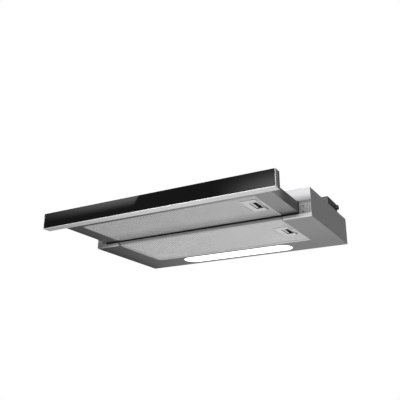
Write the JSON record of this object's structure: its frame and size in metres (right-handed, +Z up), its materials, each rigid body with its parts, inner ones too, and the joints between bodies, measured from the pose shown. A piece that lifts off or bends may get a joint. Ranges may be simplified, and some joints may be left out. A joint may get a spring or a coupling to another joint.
{
  "type": "pull out range hood",
  "caption": "Telescopic cooker hood for a wall cabinet: a slim housing with fan and lamp, and a pull out filter tray with a black glass front.",
  "frame": {"origin": "middle of the underside of the whole box, with the tray pulled out", "axes": "+X to the right seen from the front, +Y back to the wall, +Z up"},
  "size_m": [0.598, 0.486, 0.19],
  "materials": {
    "silver_paint": "satin",
    "grey_steel": "satin",
    "zinc_steel": "zinc plated",
    "motor_steel": "plain",
    "frame_aluminium": "satin",
    "mesh_aluminium": "expanded mesh",
    "profile_aluminium": "anodised",
    "black_glass": "polished",
    "lamp_lens": "opal",
    "latch_plastic": "fine grain",
    "cap_plastic": "fine grain",
    "white_plastic": "fine grain",
    "grey_plastic": "fine grain",
    "dark_plastic": "fine grain",
    "seal_rubber": "matt"
  },
  "bodies": {
    "housing": {"base_shell": "silver_paint", "bottom_frame": "grey_steel", "front_crossbar": "dark_plastic", "tray_seal": "seal_rubber", "guide_cap_left": "cap_plastic", "guide_cap_right": "cap_plastic", "guide_rail_left": "zinc_steel", "guide_rail_right": "zinc_steel", "front_pads": "white_plastic", "lamp_housing": "white_plastic", "led_board": "white_plastic", "lamp_lens": "lamp_lens", "led_driver": "white_plastic", "lamp_lead": "dark_plastic", "rear_hinge": "zinc_steel", "fan_casing": "zinc_steel", "casing_cover": "silver_paint", "fan_scroll": "grey_plastic", "inlet_ring": "grey_plastic", "motor": "motor_steel", "motor_bracket": "zinc_steel", "outlet_spigot": "grey_plastic", "flap_rod": "motor_steel", "terminal_box": "grey_plastic", "terminal_cover": "grey_plastic", "terminal_block": "white_plastic", "capacitor": "white_plastic", "cable_gland": "dark_plastic", "box_leads": "dark_plastic", "tray_switch": "dark_plastic", "body_screws": "motor_steel", "casing_screws": "motor_steel"},
    "fan": {"motor_shaft": "motor_steel", "impeller": "dark_plastic"},
    "front_flap": {"flap_front": "grey_plastic"},
    "rear_flap": {"flap_rear": "grey_plastic"},
    "rear_filter": {"rear_filter_frame": "frame_aluminium", "rear_filter_mesh": "mesh_aluminium", "rear_latch_plate": "latch_plastic", "rear_latch_springs": "zinc_steel"},
    "rear_latch": {"rear_latch_lever": "latch_plastic"},
    "tray": {"tray_pan": "grey_steel", "tray_cover": "grey_steel", "tray_glides": "white_plastic", "tray_magnet": "dark_plastic", "tray_hinge": "zinc_steel", "front_profile": "profile_aluminium", "glass_panel": "black_glass", "end_plates": "profile_aluminium", "end_plugs": "grey_plastic", "control_box": "dark_plastic", "tray_screws": "motor_steel"},
    "tray_filter": {"tray_filter_frame": "frame_aluminium", "tray_filter_mesh": "mesh_aluminium", "tray_latch_plate": "latch_plastic", "tray_latch_springs": "zinc_steel"},
    "tray_latch": {"tray_latch_lever": "latch_plastic"},
    "light_switch": {"light_slider": "cap_plastic"},
    "speed_switch": {"speed_slider": "cap_plastic"}
  },
  "joints": [
    {"name": "tray_slide", "type": "slide", "parent": "housing", "child": "tray", "axis": [0, -1, 0], "range_m": [-0.184, 0]},
    {"name": "rear_filter_swing", "type": "hinge", "parent": "housing", "child": "rear_filter", "pos_m": [-0.2242, 0, 0.0042], "axis": [0, 1, 0], "range_deg": [0, 80]},
    {"name": "rear_latch_slide", "type": "slide", "parent": "rear_filter", "child": "rear_latch", "axis": [-1, 0, 0], "range_m": [0, 0.006], "stiffness_N_per_m": 200, "springref_m": -0.002, "deforming": ["rear_latch_springs"]},
    {"name": "tray_filter_swing", "type": "hinge", "parent": "tray", "child": "tray_filter", "pos_m": [-0.2242, 0, 0.016], "axis": [0, 1, 0], "range_deg": [0, 80]},
    {"name": "tray_latch_slide", "type": "slide", "parent": "tray_filter", "child": "tray_latch", "axis": [-1, 0, 0], "range_m": [0, 0.006], "stiffness_N_per_m": 200, "springref_m": -0.002, "deforming": ["tray_latch_springs"]},
    {"name": "light_slide", "type": "slide", "parent": "tray", "child": "light_switch", "axis": [1, 0, 0], "range_m": [0, 0.008]},
    {"name": "speed_slide", "type": "slide", "parent": "tray", "child": "speed_switch", "axis": [1, 0, 0], "range_m": [0, 0.024]},
    {"name": "fan_spin", "type": "hinge", "parent": "housing", "child": "fan", "pos_m": [-0.165, 0.15, 0], "axis": [0, 0, 1], "continuous": true},
    {"name": "front_flap_swing", "type": "hinge", "parent": "housing", "child": "front_flap", "pos_m": [0, 0.172, 0.158], "axis": [-1, 0, 0], "range_deg": [0, 75]},
    {"name": "rear_flap_swing", "type": "hinge", "parent": "housing", "child": "rear_flap", "pos_m": [0, 0.172, 0.158], "axis": [1, 0, 0], "range_deg": [0, 75]}
  ]
}
